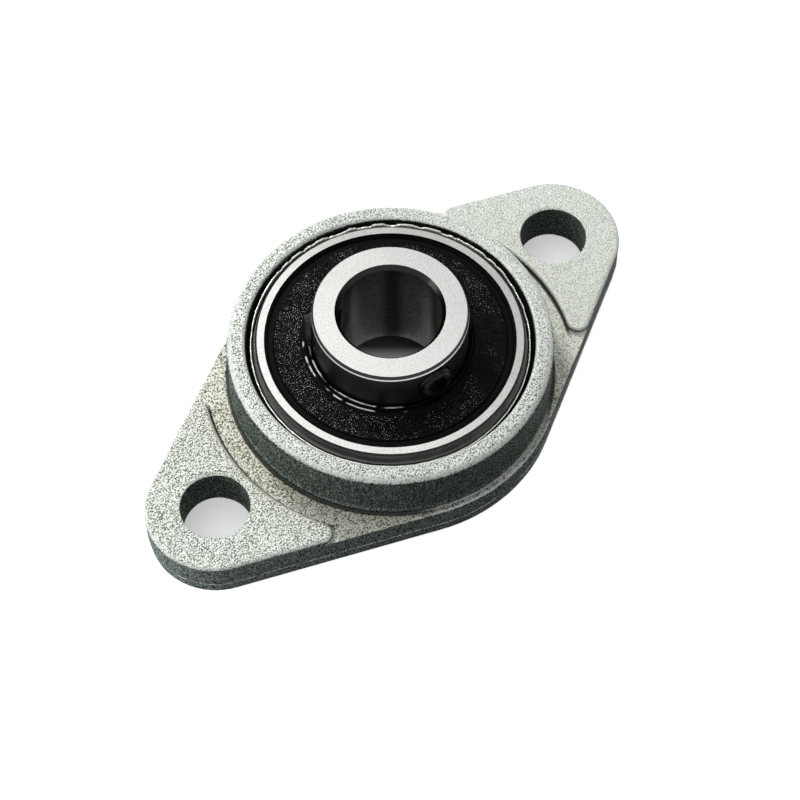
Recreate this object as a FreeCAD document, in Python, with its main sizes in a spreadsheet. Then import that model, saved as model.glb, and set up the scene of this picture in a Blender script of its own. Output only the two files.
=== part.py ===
# A two-bolt flanged bearing unit for an 8 mm shaft: a die-cast zinc housing with a rhombic flange, and a
# sealed ball bearing insert whose spherical outer ring aligns itself in the housing's seat.
# Millimetres. The origin is on the mounting face, on the shaft's axis; +X runs along the bolt line, +Z up.
# Sizes run from the shaft outwards: bore, collar, raceways and balls, outer ring, seat, hub and flange.
import FreeCAD, Part
import math
import os

import Sketcher

SIZES = {
    # inner ring with its set-screw collar
    "bore_diameter": 8.0,
    "bore_chamfer": 0.3,
    "bore_chamfer_height": 0.4,
    "collar_wall": 2.1,
    "collar_chamfer": 0.17,
    "collar_chamfer_height": 0.42,
    "collar_rise": 3.8,
    "inner_ring_overhang": 0.5,
    # balls and raceways
    "ball_count": 7,
    "ball_diameter": 3.969,
    "groove_slack": 0.1155,
    "inner_race_depth": 0.6345,
    "outer_race_depth": 0.5345,
    "race_clearance": 0.05,
    # pressed ribbon cage
    "cage_stock": 0.25,
    "cage_band": 1.4,
    "cage_headroom": 0.0955,
    "pocket_clearance": 0.06,
    "rivet_diameter": 0.6,
    "rivet_head_diameter": 0.95,
    "rivet_head_height": 0.2,
    "rivet_clearance": 0.02,
    # rubber seals
    "seal_web": 0.36,
    "seal_recess": 0.25,
    "seal_fit": 0.02,
    "seal_foot_taper": 0.1,
    "seal_rim_land": 0.15,
    "seal_rim_groove_width": 0.6,
    "seal_rim_groove_depth": 0.12,
    "seal_rim_groove_slope": 0.12,
    "seal_lip_offset": 0.55,
    "seal_lip_width": 0.2,
    "seal_lip_height": 0.22,
    "seal_lip_slope": 0.25,
    "lip_clearance": 0.06,
    # outer ring
    "seal_ledge": 0.9,
    "seal_seat_depth": 1.15,
    "snap_groove_reach": 0.25,
    "snap_groove_depth": 0.4,
    "snap_groove_width": 0.5,
    "ring_face_width": 0.683,
    "ring_corner": 0.12,
    # housing: the spherical seat and the hub round it
    "seat_clearance": 0.05,
    "seat_half_height": 1.95,
    "coined_lip_width": 0.14,
    "coin_groove_depth": 0.4,
    "coin_groove_floor": 0.12,
    "coin_groove_slope": 0.08,
    "mouth_gap": 0.4,
    "mouth_depth": 0.45,
    "base_gap": 0.2,
    "base_bore_depth": 1.5,
    "ring_setback": 2.1,
    "ring_proud": 0.1,
    "hub_wall": 1.8,
    "hub_draft": 1.5,
    # housing: the flange, and the relief round the hub that leaves a raised pad under each bolt head
    "bolt_hole_diameter": 5.4,
    "pad_land": 0.9,
    "lug_radius": 5.5,
    "flange_rim": 0.65,
    "pad_height": 3.8,
    "parting_height": 1.3,
    "flange_draft": 3.0,
    "relief_gap": 2.05,
    "relief_depth": 0.6,
    # housing: tumbled edges
    "pad_corner_round": 0.9,
    "hub_edge_round": 0.6,
    "hub_foot_round": 0.2,
    "mouth_edge_round": 0.25,
    "pad_edge_round": 0.3,
    "base_edge_round": 0.2,
    "hole_edge_round": 0.12,
    # set screws
    "set_screw_diameter": 2.9,
    "set_screw_length": 2.5,
    "set_screw_drop": 2.05,
    "set_screw_angle": 141.0,
    "set_screw_spread": 120.0,
    "set_screw_clearance": 0.05,
    "set_screw_setback": 0.1,
    "set_screw_chamfer": 0.3,
    "hex_socket_width": 1.5,
    "hex_socket_depth": 1.2,
}
SET_SCREWS = 2
OVERSHOOT = "1"  # how far a cut runs past what it cuts

# sizes that follow from the driving ones
BORE_RADIUS = "(sizes.bore_diameter / 2)"
COLLAR_RADIUS = f"({BORE_RADIUS} + sizes.collar_wall)"
BALL_RADIUS = "(sizes.ball_diameter / 2)"
PITCH_RADIUS = f"({COLLAR_RADIUS} - sizes.inner_race_depth + sizes.race_clearance + {BALL_RADIUS})"
GROOVE_RADIUS = f"({BALL_RADIUS} + sizes.groove_slack)"
OUTER_RACE_BOTTOM = f"({PITCH_RADIUS} + {BALL_RADIUS} + sizes.race_clearance)"
OUTER_LAND_RADIUS = f"({OUTER_RACE_BOTTOM} - sizes.outer_race_depth)"
POCKET_RADIUS = f"({BALL_RADIUS} + sizes.pocket_clearance)"
DOME_RADIUS = f"({POCKET_RADIUS} + sizes.cage_stock)"
SEAL_UNDERSIDE = f"({DOME_RADIUS} + sizes.cage_headroom)"
SEAL_TOP = f"({SEAL_UNDERSIDE} + sizes.seal_web)"
HALF_WIDTH = f"({SEAL_TOP} + sizes.seal_recess)"
SEAL_SEAT_RADIUS = f"({OUTER_LAND_RADIUS} + sizes.seal_ledge)"
SEAL_SHOULDER = f"({HALF_WIDTH} - sizes.seal_seat_depth)"
SNAP_RADIUS = f"({SEAL_SEAT_RADIUS} + sizes.snap_groove_reach)"
SNAP_TOP = f"({HALF_WIDTH} - sizes.snap_groove_depth)"
SNAP_BOTTOM = f"({SNAP_TOP} - sizes.snap_groove_width)"
FACE_RADIUS = f"({SEAL_SEAT_RADIUS} + sizes.ring_face_width)"
SPHERE_RADIUS = f"sqrt({FACE_RADIUS} ^ 2 + {HALF_WIDTH} ^ 2)"
BALL_CENTRE_HEIGHT = f"(sizes.ring_setback + {HALF_WIDTH})"
COLLAR_TOP = f"({HALF_WIDTH} + sizes.collar_rise)"
SCREW_HEIGHT = f"({COLLAR_TOP} - sizes.set_screw_drop)"
SEAT_RADIUS = f"({SPHERE_RADIUS} + sizes.seat_clearance)"
THROAT_RADIUS = f"sqrt({SEAT_RADIUS} ^ 2 - sizes.seat_half_height ^ 2)"
HUB_HEIGHT = f"({BALL_CENTRE_HEIGHT} + {HALF_WIDTH} - sizes.ring_proud)"
HUB_RADIUS = f"({SEAT_RADIUS} + sizes.hub_wall)"
MOUTH_RADIUS = f"({SPHERE_RADIUS} + sizes.mouth_gap)"
BASE_BORE_RADIUS = f"({SPHERE_RADIUS} + sizes.base_gap)"
FLANGE_RADIUS = f"({HUB_RADIUS} + sizes.flange_rim)"
RELIEF_RADIUS = f"({HUB_RADIUS} + sizes.relief_gap)"
FLOOR_HEIGHT = "(sizes.pad_height - sizes.relief_depth)"
HUB_FOOT_RADIUS = f"({HUB_RADIUS} + ({HUB_HEIGHT} - {FLOOR_HEIGHT}) * tan(sizes.hub_draft))"
BOLT_HOLE_RADIUS = "(sizes.bolt_hole_diameter / 2)"
HALF_SPACING = f"({RELIEF_RADIUS} + sizes.pad_land + {BOLT_HOLE_RADIUS})"
HALF_STEP = "(180 / sizes.ball_count)"

doc = FreeCAD.newDocument("flanged_bearing_unit")
sheet = doc.addObject("Spreadsheet::Sheet", "sizes")
for row, (alias, number) in enumerate(SIZES.items(), start=1):
    sheet.set(f"A{row}", alias)
    sheet.set(f"B{row}", str(number))
    sheet.setAlias(f"B{row}", alias)
doc.recompute()


def size(expression):
    """The number that an expression over the sheet's sizes comes to now."""
    value = sheet.evalExpression(expression)
    return float(getattr(value, "Value", value))


def flip(expression):
    """The expression with its sign turned."""
    return f"-({expression})"


# bodies, sketches and features
def new_body(label):
    body = doc.addObject("PartDesign::Body", label)
    body.Label = label
    return body


def origin_feature(body, role):
    return next(f for f in body.Origin.OriginFeatures if f.Role == role)


def new_sketch(body, name, plane, offset="0"):
    """An empty sketch on one of the body's origin planes, moved along that plane's normal."""
    sketch = body.newObject("Sketcher::SketchObject", name)
    sketch.AttachmentSupport = [(origin_feature(body, plane), "")]
    sketch.MapMode = "FlatFace"
    sketch.setExpression("AttachmentOffset.Base.z", offset)
    return sketch


def constrain(sketch, name, expression, kind, *places):
    """Add a dimension to the sketch, and bind it to an expression over the sheet."""
    index = sketch.addConstraint(Sketcher.Constraint(kind, *places, size(expression)))
    sketch.renameConstraint(index, name)
    sketch.setExpression(f"Constraints.{name}", expression)


def arc_through(start, end, radius):
    """The arc that runs anticlockwise from start to end with the given radius, by the short way round."""
    chord = end - start
    middle = (start + end) * 0.5
    rise = math.sqrt(radius**2 - (chord.Length / 2) ** 2)
    inward = FreeCAD.Vector(-chord.y, chord.x, 0).normalize()
    centre = middle + inward * rise
    angles = [math.atan2(point.y - centre.y, point.x - centre.x) for point in (start, end)]
    circle = Part.Circle(centre, FreeCAD.Vector(0, 0, 1), radius)
    return Part.ArcOfCircle(circle, angles[0], angles[1])


def draw_profile(sketch, corners):
    """Draw a closed outline anticlockwise: a corner is (x, y), or (x, y, r) if an arc of radius r leaves it."""
    points = [FreeCAD.Vector(size(corner[0]), size(corner[1]), 0) for corner in corners]
    first, count = len(sketch.Geometry), len(corners)
    for i, corner in enumerate(corners):
        start, end = points[i], points[(i + 1) % count]
        if len(corner) == 3:
            sketch.addGeometry(arc_through(start, end, size(corner[2])), False)
        else:
            sketch.addGeometry(Part.LineSegment(start, end), False)
    for i, corner in enumerate(corners):
        here, following = first + i, first + (i + 1) % count
        sketch.addConstraint(Sketcher.Constraint("Coincident", here, 2, following, 1))
        constrain(sketch, f"x{here}", corner[0], "DistanceX", -1, 1, here, 1)
        constrain(sketch, f"y{here}", corner[1], "DistanceY", -1, 1, here, 1)
        if len(corner) == 3:
            constrain(sketch, f"r{here}", corner[2], "Radius", here)


def draw_circle(sketch, x, y, radius, name):
    """Draw a full circle whose centre and radius follow the sheet."""
    centre = FreeCAD.Vector(size(x), size(y), 0)
    index = sketch.addGeometry(Part.Circle(centre, FreeCAD.Vector(0, 0, 1), size(radius)), False)
    constrain(sketch, f"{name}_x", x, "DistanceX", -1, 1, index, 3)
    constrain(sketch, f"{name}_y", y, "DistanceY", -1, 1, index, 3)
    constrain(sketch, f"{name}_r", radius, "Radius", index)


def draw_upright_axis(sketch, x):
    """Draw a construction line, parallel to Z, for a shape of revolution that stands off the shaft's axis."""
    foot = FreeCAD.Vector(size(x), 0, 0)
    line = sketch.addGeometry(Part.LineSegment(foot, foot + FreeCAD.Vector(0, 1, 0)), True)
    sketch.addConstraint(Sketcher.Constraint("Vertical", line))
    constrain(sketch, "axis_x", x, "DistanceX", -1, 1, line, 1)
    constrain(sketch, "axis_y", "0", "DistanceY", -1, 1, line, 1)
    constrain(sketch, "axis_length", "1", "DistanceY", line, 1, line, 2)


def revolve(body, kind, name, sketch, axis="V_Axis"):
    """A full turn of the sketch: kind is Revolution, which adds, or Groove, which cuts."""
    feature = body.newObject(f"PartDesign::{kind}", name)
    feature.Profile = sketch
    feature.ReferenceAxis = (sketch, [axis])
    feature.Angle = 360
    doc.recompute()
    return feature


def extrude(body, kind, name, sketch, length=None, reverse=False, draft=None):
    """A straight Pad or Pocket of the sketch; with no length it goes right through."""
    feature = body.newObject(f"PartDesign::{kind}", name)
    feature.Profile = sketch
    feature.Reversed = reverse
    if length is None:
        feature.Type = "ThroughAll"
    else:
        feature.setExpression("Length", length)
    if draft:
        feature.setExpression("TaperAngle", draft)
    doc.recompute()
    return feature


def polar_pattern(body, name, original):
    """Copies of a feature, one for each ball, evenly spaced round the body's own Z axis."""
    pattern = body.newObject("PartDesign::PolarPattern", name)
    pattern.Originals = [original]
    pattern.Axis = (origin_feature(body, "Z_Axis"), [""])
    pattern.Angle = 360
    pattern.setExpression("Occurrences", "sizes.ball_count")
    body.Tip = pattern
    doc.recompute()
    return pattern


def round_edges(body, name, radius, wanted):
    """Fillet every edge of the body so far for which wanted(edge) is true."""
    base = body.Tip
    names = [f"Edge{i}" for i, edge in enumerate(base.Shape.Edges, start=1) if wanted(edge)]
    fillet = body.newObject("PartDesign::Fillet", name)
    fillet.Base = (base, names)
    fillet.setExpression("Radius", radius)
    doc.recompute()
    return fillet


def place(obj, height, turn="0", axis=(0, 0, 1)):
    """Put a sub-part at a height on the shaft's axis, turned about one of its own axes."""
    obj.Placement = FreeCAD.Placement(FreeCAD.Vector(), FreeCAD.Rotation(FreeCAD.Vector(*axis), 0))
    obj.setExpression("Placement.Base.z", height)
    obj.setExpression("Placement.Rotation.Angle", turn)


# tests that pick out edges by where they lie
def lies_at(edge, height):
    ends_there = all(abs(vertex.Z - height) < 1e-6 for vertex in edge.Vertexes)
    return ends_there and abs(edge.CenterOfMass.z - height) < 1e-6


def is_ring(edge, radius):
    """A full circle, or an arc of one, round the shaft's axis."""
    curve = edge.Curve
    on_axis = isinstance(curve, Part.Circle) and math.hypot(curve.Center.x, curve.Center.y) < 1e-6
    return on_axis and abs(curve.Radius - radius) < 1e-4


def draw_flange_outline(sketch):
    """A rhombus with round ends: two lug arcs and two hub arcs, joined by four tangent lines."""
    half, lug, hub = size(HALF_SPACING), SIZES["lug_radius"], size(FLANGE_RADIUS)
    lean = math.acos((hub - lug) / half)
    arcs = (
        (half, lug, -lean, lean),
        (0, hub, lean, math.pi - lean),
        (-half, lug, math.pi - lean, math.pi + lean),
        (0, hub, math.pi + lean, 2 * math.pi - lean),
    )
    up = FreeCAD.Vector(0, 0, 1)
    for x, radius, start, end in arcs:
        circle = Part.Circle(FreeCAD.Vector(x, 0, 0), up, radius)
        sketch.addGeometry(Part.ArcOfCircle(circle, start, end), False)
    for i in range(len(arcs)):
        following = (i + 1) % len(arcs)
        ends = (sketch.Geometry[i].EndPoint, sketch.Geometry[following].StartPoint)
        line = sketch.addGeometry(Part.LineSegment(*ends), False)
        sketch.addConstraint(Sketcher.Constraint("Tangent", i, 2, line, 1))
        sketch.addConstraint(Sketcher.Constraint("Tangent", line, 2, following, 1))
    for i, x in ((0, HALF_SPACING), (2, flip(HALF_SPACING))):
        constrain(sketch, f"lug_x{i}", x, "DistanceX", -1, 1, i, 3)
        sketch.addConstraint(Sketcher.Constraint("PointOnObject", i, 3, -1))
        constrain(sketch, f"lug_r{i}", "sizes.lug_radius", "Radius", i)
    for i in (1, 3):
        sketch.addConstraint(Sketcher.Constraint("Coincident", i, 3, -1, 1))
        constrain(sketch, f"hub_r{i}", FLANGE_RADIUS, "Radius", i)


def make_housing():
    body = new_body("housing")

    # the flange, drawn in from its parting line to the mounting face
    outline = new_sketch(body, "flange_outline", "XY_Plane", "sizes.parting_height")
    draw_flange_outline(outline)
    extrude(body, "Pad", "flange_above_parting", outline, "sizes.pad_height - sizes.parting_height")
    extrude(body, "Pad", "flange_below_parting", outline, "sizes.parting_height", True, "-sizes.flange_draft")

    # the relief round the hub
    relief = new_sketch(body, "relief_outline", "XY_Plane", FLOOR_HEIGHT)
    draw_circle(relief, "0", "0", RELIEF_RADIUS, "relief")
    extrude(body, "Pocket", "relief", relief, reverse=True)
    floor, pad_top = size(FLOOR_HEIGHT), SIZES["pad_height"]

    def is_pad_corner(edge):
        heights = sorted(vertex.Z for vertex in edge.Vertexes)
        return len(heights) == 2 and abs(heights[0] - floor) < 1e-6 and abs(heights[1] - pad_top) < 1e-6

    round_edges(body, "pad_corners", "sizes.pad_corner_round", is_pad_corner)

    hub = new_sketch(body, "hub_outline", "XY_Plane", HUB_HEIGHT)
    draw_circle(hub, "0", "0", HUB_RADIUS, "hub")
    extrude(body, "Pad", "hub", hub, f"{HUB_HEIGHT} - {FLOOR_HEIGHT}", True, "sizes.hub_draft")

    # the seat: a spherical band over a plain bore, and a groove coined round it that leaves a lip to hold the ring
    seat = new_sketch(body, "seat_profile", "XZ_Plane")
    above = f"{HUB_HEIGHT} + {OVERSHOOT}"
    lip_top = f"({BALL_CENTRE_HEIGHT} + sizes.seat_half_height)"
    lip_radius = f"({THROAT_RADIUS} + sizes.coined_lip_width)"
    groove_radius = f"({lip_radius} + sizes.coin_groove_slope)"
    groove_bottom = f"({lip_top} - sizes.coin_groove_depth)"
    corners = [
        ("0", flip(OVERSHOOT)),
        (BASE_BORE_RADIUS, flip(OVERSHOOT)),
        (BASE_BORE_RADIUS, "sizes.base_bore_depth"),
        (THROAT_RADIUS, f"{BALL_CENTRE_HEIGHT} - sizes.seat_half_height", SEAT_RADIUS),
        (THROAT_RADIUS, lip_top),
        (lip_radius, lip_top),
        (groove_radius, groove_bottom),
        (f"{groove_radius} + sizes.coin_groove_floor", groove_bottom),
        (MOUTH_RADIUS, f"{HUB_HEIGHT} - sizes.mouth_depth"),
        (MOUTH_RADIUS, above),
        ("0", above),
    ]
    draw_profile(seat, corners)
    revolve(body, "Groove", "seat", seat)

    holes = new_sketch(body, "bolt_hole_places", "XY_Plane")
    draw_circle(holes, HALF_SPACING, "0", BOLT_HOLE_RADIUS, "right")
    draw_circle(holes, flip(HALF_SPACING), "0", BOLT_HOLE_RADIUS, "left")
    extrude(body, "Pocket", "bolt_holes", holes, reverse=True)

    # tumbled edges
    top, half = size(HUB_HEIGHT), size(HALF_SPACING)
    hole_radius, hub_radius = size(BOLT_HOLE_RADIUS), size(HUB_RADIUS)
    mouth_radius, foot_radius = size(MOUTH_RADIUS), size(HUB_FOOT_RADIUS)

    def is_hole_rim(edge):
        curve = edge.Curve
        round_a_bolt = isinstance(curve, Part.Circle) and abs(abs(curve.Center.x) - half) < 1e-6
        return round_a_bolt and abs(curve.Radius - hole_radius) < 1e-6

    def is_pad_outline(edge):
        return lies_at(edge, pad_top) and not is_hole_rim(edge)

    def is_base_outline(edge):
        return lies_at(edge, 0) and not is_hole_rim(edge)

    round_edges(body, "hub_foot", "sizes.hub_foot_round", lambda edge: is_ring(edge, foot_radius))
    round_edges(body, "hub_edge", "sizes.hub_edge_round",
                lambda edge: lies_at(edge, top) and is_ring(edge, hub_radius))
    round_edges(body, "mouth_edge", "sizes.mouth_edge_round",
                lambda edge: lies_at(edge, top) and is_ring(edge, mouth_radius))
    round_edges(body, "pad_edges", "sizes.pad_edge_round", is_pad_outline)
    round_edges(body, "base_edges", "sizes.base_edge_round", is_base_outline)
    round_edges(body, "hole_rims", "sizes.hole_edge_round", is_hole_rim)
    place(body, "0")
    return body


def make_outer_ring():
    body = new_body("outer_ring")
    corner_height = f"({HALF_WIDTH} - sizes.ring_corner)"
    corner_radius = f"sqrt({SPHERE_RADIUS} ^ 2 - {corner_height} ^ 2)"
    # upper half, from the spherical side over the face and down into the bore
    upper = [
        (corner_radius, corner_height),
        (f"{FACE_RADIUS} - sizes.ring_corner", HALF_WIDTH),
        (SEAL_SEAT_RADIUS, HALF_WIDTH),
        (SEAL_SEAT_RADIUS, SNAP_TOP),
        (SNAP_RADIUS, SNAP_TOP),
        (SNAP_RADIUS, SNAP_BOTTOM),
        (SEAL_SEAT_RADIUS, SNAP_BOTTOM),
        (SEAL_SEAT_RADIUS, SEAL_SHOULDER),
        (OUTER_LAND_RADIUS, SEAL_SHOULDER),
    ]
    lower = [(r, flip(z)) for r, z in reversed(upper)]
    # the last corner of the lower half starts the spherical side
    lower[-1] += (SPHERE_RADIUS,)
    section = new_sketch(body, "outer_ring_section", "XZ_Plane")
    draw_profile(section, upper + lower)
    revolve(body, "Revolution", "outer_ring_blank", section)
    race = new_sketch(body, "outer_race", "XZ_Plane")
    draw_circle(race, f"{OUTER_RACE_BOTTOM} - {GROOVE_RADIUS}", "0", GROOVE_RADIUS, "race")
    revolve(body, "Groove", "outer_raceway", race)
    place(body, BALL_CENTRE_HEIGHT)
    return body


def screw_angle(number):
    """The direction of a set screw round the shaft, from +X."""
    return f"sizes.set_screw_angle + {number - 1} * sizes.set_screw_spread"


def make_inner_ring():
    body = new_body("inner_ring")
    foot = f"-({HALF_WIDTH} + sizes.inner_ring_overhang)"
    bore_edge = f"{BORE_RADIUS} + sizes.bore_chamfer"
    collar_edge = f"{COLLAR_RADIUS} - sizes.collar_chamfer"
    corners = [
        (bore_edge, foot),
        (collar_edge, foot),
        (COLLAR_RADIUS, f"{foot} + sizes.collar_chamfer_height"),
        (COLLAR_RADIUS, f"{COLLAR_TOP} - sizes.collar_chamfer_height"),
        (collar_edge, COLLAR_TOP),
        (bore_edge, COLLAR_TOP),
        (BORE_RADIUS, f"{COLLAR_TOP} - sizes.bore_chamfer_height"),
        (BORE_RADIUS, f"{foot} + sizes.bore_chamfer_height"),
    ]
    section = new_sketch(body, "inner_ring_section", "XZ_Plane")
    draw_profile(section, corners)
    revolve(body, "Revolution", "inner_ring_blank", section)
    race = new_sketch(body, "inner_race", "XZ_Plane")
    race_bottom = f"{PITCH_RADIUS} - {BALL_RADIUS} - sizes.race_clearance"
    draw_circle(race, f"{race_bottom} + {GROOVE_RADIUS}", "0", GROOVE_RADIUS, "race")
    revolve(body, "Groove", "inner_raceway", race)
    # screw holes, through one wall of the collar each
    hole_radius = "sizes.set_screw_diameter / 2 + sizes.set_screw_clearance"
    for number in range(1, SET_SCREWS + 1):
        hole = new_sketch(body, f"screw_hole_place_{number}", "YZ_Plane")
        about_y = FreeCAD.Rotation(FreeCAD.Vector(0, 1, 0), 1)
        hole.AttachmentOffset = FreeCAD.Placement(FreeCAD.Vector(), about_y)
        hole.setExpression("AttachmentOffset.Rotation.Angle", screw_angle(number))
        draw_circle(hole, "0", SCREW_HEIGHT, hole_radius, "hole")
        extrude(body, "Pocket", f"screw_hole_{number}", hole, f"{COLLAR_RADIUS} + {OVERSHOOT}", True)
    place(body, BALL_CENTRE_HEIGHT)
    return body


def make_set_screw(number):
    """A grub screw with a hex socket, built along +X and turned to its hole."""
    body = new_body(f"set_screw_{number}")
    radius, chamfer = "sizes.set_screw_diameter / 2", "sizes.set_screw_chamfer"
    tip = f"{BORE_RADIUS} + sizes.set_screw_setback"
    end = f"{tip} + sizes.set_screw_length"
    corners = [
        (tip, "0"),
        (end, "0"),
        (end, f"{radius} - {chamfer}"),
        (f"{end} - {chamfer}", radius),
        (f"{tip} + {chamfer}", radius),
        (tip, f"{radius} - {chamfer}"),
    ]
    section = new_sketch(body, f"screw_section_{number}", "XZ_Plane")
    draw_profile(section, corners)
    revolve(body, "Revolution", f"screw_blank_{number}", section, "H_Axis")
    socket = new_sketch(body, f"socket_outline_{number}", "YZ_Plane", end)
    corner_radius = "sizes.hex_socket_width / sqrt(3)"
    angles = range(0, 360, 60)
    draw_profile(socket, [(f"{corner_radius} * cos({a})", f"{corner_radius} * sin({a})") for a in angles])
    extrude(body, "Pocket", f"hex_socket_{number}", socket, "sizes.hex_socket_depth")
    place(body, f"{BALL_CENTRE_HEIGHT} + {SCREW_HEIGHT}", screw_angle(number))
    return body


def make_ball(number):
    ball = doc.addObject("Part::Sphere", f"ball_{number}")
    ball.Label = f"ball_{number}"
    ball.setExpression("Radius", BALL_RADIUS)
    angle = f"{2 * (number - 1)} * {HALF_STEP}"
    ball.setExpression("Placement.Base.x", f"{PITCH_RADIUS} * cos({angle})")
    ball.setExpression("Placement.Base.y", f"{PITCH_RADIUS} * sin({angle})")
    ball.setExpression("Placement.Base.z", BALL_CENTRE_HEIGHT)
    return ball


def make_cage_half(label, turn):
    """Half of a ribbon cage: a flat strip with a domed pocket over each ball and a rivet hole between them."""
    body = new_body(label)
    inner, outer = (f"({PITCH_RADIUS} {sign} sizes.cage_band / 2)" for sign in "-+")

    strip = new_sketch(body, f"{label}_strip", "XZ_Plane")
    upper = "sizes.cage_stock"
    draw_profile(strip, [(inner, "0"), (outer, "0"), (outer, upper), (inner, upper)])
    revolve(body, "Revolution", f"{label}_ring", strip)

    def half_ball(kind, name, radius):
        """Add or cut the upper half of a ball on the pitch circle, and repeat it for every ball."""
        sketch = new_sketch(body, f"{name}_section", "XZ_Plane")
        corners = [(PITCH_RADIUS, "0"), (f"{PITCH_RADIUS} + {radius}", "0", radius), (PITCH_RADIUS, radius)]
        draw_profile(sketch, corners)
        draw_upright_axis(sketch, PITCH_RADIUS)
        polar_pattern(body, f"{name}s", revolve(body, kind, name, sketch, "Axis0"))

    half_ball("Revolution", f"{label}_dome", DOME_RADIUS)

    # trim the domes to the strip's width
    trim = new_sketch(body, f"{label}_trim", "XZ_Plane")
    below, over = flip(OVERSHOOT), f"{DOME_RADIUS} + {OVERSHOOT}"
    reach = f"{PITCH_RADIUS} + {over}"
    draw_profile(trim, [("0", below), (inner, below), (inner, over), ("0", over)])
    draw_profile(trim, [(outer, below), (reach, below), (reach, over), (outer, over)])
    revolve(body, "Groove", f"{label}_edges", trim)

    half_ball("Groove", f"{label}_pocket", POCKET_RADIUS)

    hole = new_sketch(body, f"{label}_rivet_place", "XY_Plane")
    hole_radius = "sizes.rivet_diameter / 2 + sizes.rivet_clearance"
    across, along = f"{PITCH_RADIUS} * cos({HALF_STEP})", f"{PITCH_RADIUS} * sin({HALF_STEP})"
    draw_circle(hole, across, along, hole_radius, "rivet")
    pierced = extrude(body, "Pocket", f"{label}_rivet_hole", hole, reverse=True)
    polar_pattern(body, f"{label}_rivet_holes", pierced)
    place(body, BALL_CENTRE_HEIGHT, turn, (1, 0, 0))
    return body


def make_cage_rivets():
    """One rivet between each two pockets, headed over both strips."""
    body = new_body("cage_rivets")
    body.AllowCompound = True
    shank, head = "sizes.rivet_diameter / 2", "sizes.rivet_head_diameter / 2"
    strip, top = "sizes.cage_stock", "sizes.cage_stock + sizes.rivet_head_height"
    upper = [(shank, strip), (head, strip), (head, top), ("0", top)]
    lower = [(r, flip(z)) for r, z in reversed(upper)]
    section = new_sketch(body, "rivet_section", "XZ_Plane")
    draw_profile(section, [(f"{PITCH_RADIUS} + {r}", z) for r, z in lower + upper])
    draw_upright_axis(section, PITCH_RADIUS)
    polar_pattern(body, "rivets", revolve(body, "Revolution", "rivet", section, "Axis0"))
    place(body, BALL_CENTRE_HEIGHT, HALF_STEP)
    return body


def make_seal(label, turn):
    """A moulded rubber seal: a bead in the outer ring's snap groove, a thin web and a lip by the collar."""
    body = new_body(label)
    foot = f"({SEAL_SHOULDER} + sizes.seal_fit)"
    rim = f"({SEAL_SEAT_RADIUS} - sizes.seal_fit)"
    bead = f"({SNAP_RADIUS} - sizes.seal_fit)"
    bead_foot, bead_top = f"({SNAP_BOTTOM} + sizes.seal_fit)", f"({SNAP_TOP} - sizes.seal_fit)"
    tip = f"({COLLAR_RADIUS} + sizes.lip_clearance)"
    groove_edge = f"({rim} - sizes.seal_rim_land)"
    groove_end = f"({groove_edge} - sizes.seal_rim_groove_width)"
    groove_floor = f"({SEAL_TOP} - sizes.seal_rim_groove_depth)"
    lip_start = f"({COLLAR_RADIUS} + sizes.seal_lip_offset)"
    lip_end = f"({lip_start} + sizes.seal_lip_width)"
    crest = f"({SEAL_TOP} + sizes.seal_lip_height)"
    corners = [
        (tip, SEAL_UNDERSIDE),
        (OUTER_LAND_RADIUS, SEAL_UNDERSIDE),
        (f"{OUTER_LAND_RADIUS} + sizes.seal_foot_taper", foot),
        (rim, foot),
        (rim, bead_foot),
        (bead, bead_foot),
        (bead, bead_top),
        (rim, bead_top),
        (rim, SEAL_TOP),
        (groove_edge, SEAL_TOP),
        (f"{groove_edge} - sizes.seal_rim_groove_slope", groove_floor),
        (f"{groove_end} + sizes.seal_rim_groove_slope", groove_floor),
        (groove_end, SEAL_TOP),
        (f"{lip_end} + sizes.seal_lip_slope", SEAL_TOP),
        (lip_end, crest),
        (lip_start, crest),
        (tip, SEAL_TOP),
    ]
    section = new_sketch(body, f"{label}_section", "XZ_Plane")
    draw_profile(section, corners)
    revolve(body, "Revolution", f"{label}_ring", section)
    place(body, BALL_CENTRE_HEIGHT, turn, (1, 0, 0))
    return body


sub_parts = [make_housing(), make_outer_ring(), make_inner_ring()]
sub_parts += [make_ball(number) for number in range(1, SIZES["ball_count"] + 1)]
sub_parts += [make_cage_half("cage_upper", "0"), make_cage_half("cage_lower", "180"), make_cage_rivets()]
sub_parts += [make_seal("front_seal", "0"), make_seal("rear_seal", "180")]
sub_parts += [make_set_screw(number) for number in range(1, SET_SCREWS + 1)]
doc.recompute()

for obj in doc.Objects:
    if "Invalid" in obj.State or "Error" in obj.State:
        raise RuntimeError(f"{obj.Label} failed to compute: {obj.State}")
for part in sub_parts:
    if part.Shape.isNull() or not part.Shape.isValid() or not part.Shape.Solids:
        raise RuntimeError(f"{part.Label} has no valid solid")

os.makedirs("parts", exist_ok=True)
for part in sub_parts:
    part.Shape.exportStep(f"parts/{part.Label}.step")
    box = part.Shape.optimalBoundingBox()
    corners = (box.XMin, box.YMin, box.ZMin, box.XMax, box.YMax, box.ZMax)
    print(part.Label, len(part.Shape.Solids), round(part.Shape.Volume, 3), [round(c, 3) for c in corners])
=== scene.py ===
import math

import bmesh
import bpy
from mathutils import Matrix, Vector, noise


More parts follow.
